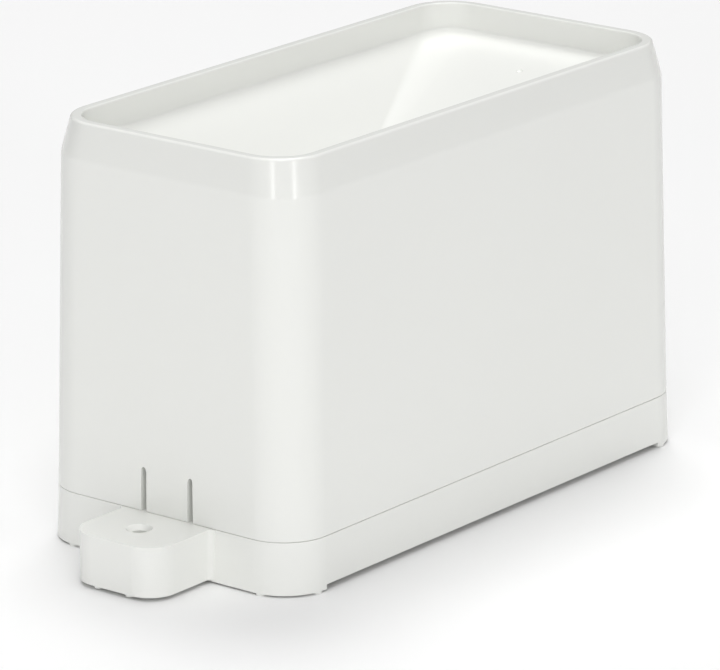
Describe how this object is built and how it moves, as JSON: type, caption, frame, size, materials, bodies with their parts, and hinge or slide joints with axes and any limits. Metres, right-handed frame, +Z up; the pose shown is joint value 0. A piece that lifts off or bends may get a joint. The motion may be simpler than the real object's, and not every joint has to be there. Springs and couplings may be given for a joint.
{
  "type": "rain gauge",
  "caption": "Rectangular self-emptying rain gauge: white lift-off cover with open funnel and snap tab, tray base with screw lug, tipping bucket inside.",
  "frame": {"origin": "centre of the bounding box in plan, on the ground that the feet stand on", "axes": "+Z up, +Y along the length away from the screw lug, +X across the width"},
  "size_m": [0.0596, 0.1342, 0.0785],
  "materials": {
    "housing_white": "semi-gloss moulded",
    "base_white": "semi-gloss moulded",
    "bracket_white": "fine matt moulded",
    "bucket_grey": "fine matt moulded",
    "case_black": "fine matt moulded",
    "steel": "bright",
    "magnet": "plated",
    "seal_rubber": "soft",
    "board_green": "lacquered",
    "reed_glass": "clear green",
    "shield_tin": "tinned",
    "copper": "bare wire",
    "cell_wrap": "satin wrap"
  },
  "bodies": {
    "base": {"base_tray": "base_white", "bucket_bracket": "bracket_white", "bracket_screws": "steel", "electronics_case": "case_black", "case_screws": "steel", "electronics_lid": "case_black", "lid_seal": "seal_rubber", "lid_screws": "steel", "circuit_board": "board_green", "board_screws": "steel", "reed_switch": "reed_glass", "radio_module": "shield_tin", "antenna_coil": "copper", "battery_holder": "case_black", "battery_front": "cell_wrap", "battery_rear": "cell_wrap", "link_contact": "shield_tin", "end_contacts": "shield_tin"},
    "collector": {"collector_housing": "housing_white"},
    "latch": {"latch_tab": "housing_white"},
    "bucket": {"tipping_bucket": "bucket_grey", "bucket_axle": "steel", "bucket_magnet": "magnet"}
  },
  "joints": [
    {"name": "collector_lift", "type": "slide", "parent": "base", "child": "collector", "axis": [0, 0, 1], "range_m": [0, 0.08]},
    {"name": "tab_press", "type": "hinge", "parent": "collector", "child": "latch", "pos_m": [0.00103, -0.05053, 0.018], "axis": [1, 0, 0], "range_deg": [0, 5], "stiffness_Nm_per_rad": 1.1},
    {"name": "bucket_tip", "type": "hinge", "parent": "base", "child": "bucket", "pos_m": [0, 0.00762, 0.018], "axis": [0, -1, 0], "range_deg": [0, 36]}
  ]
}
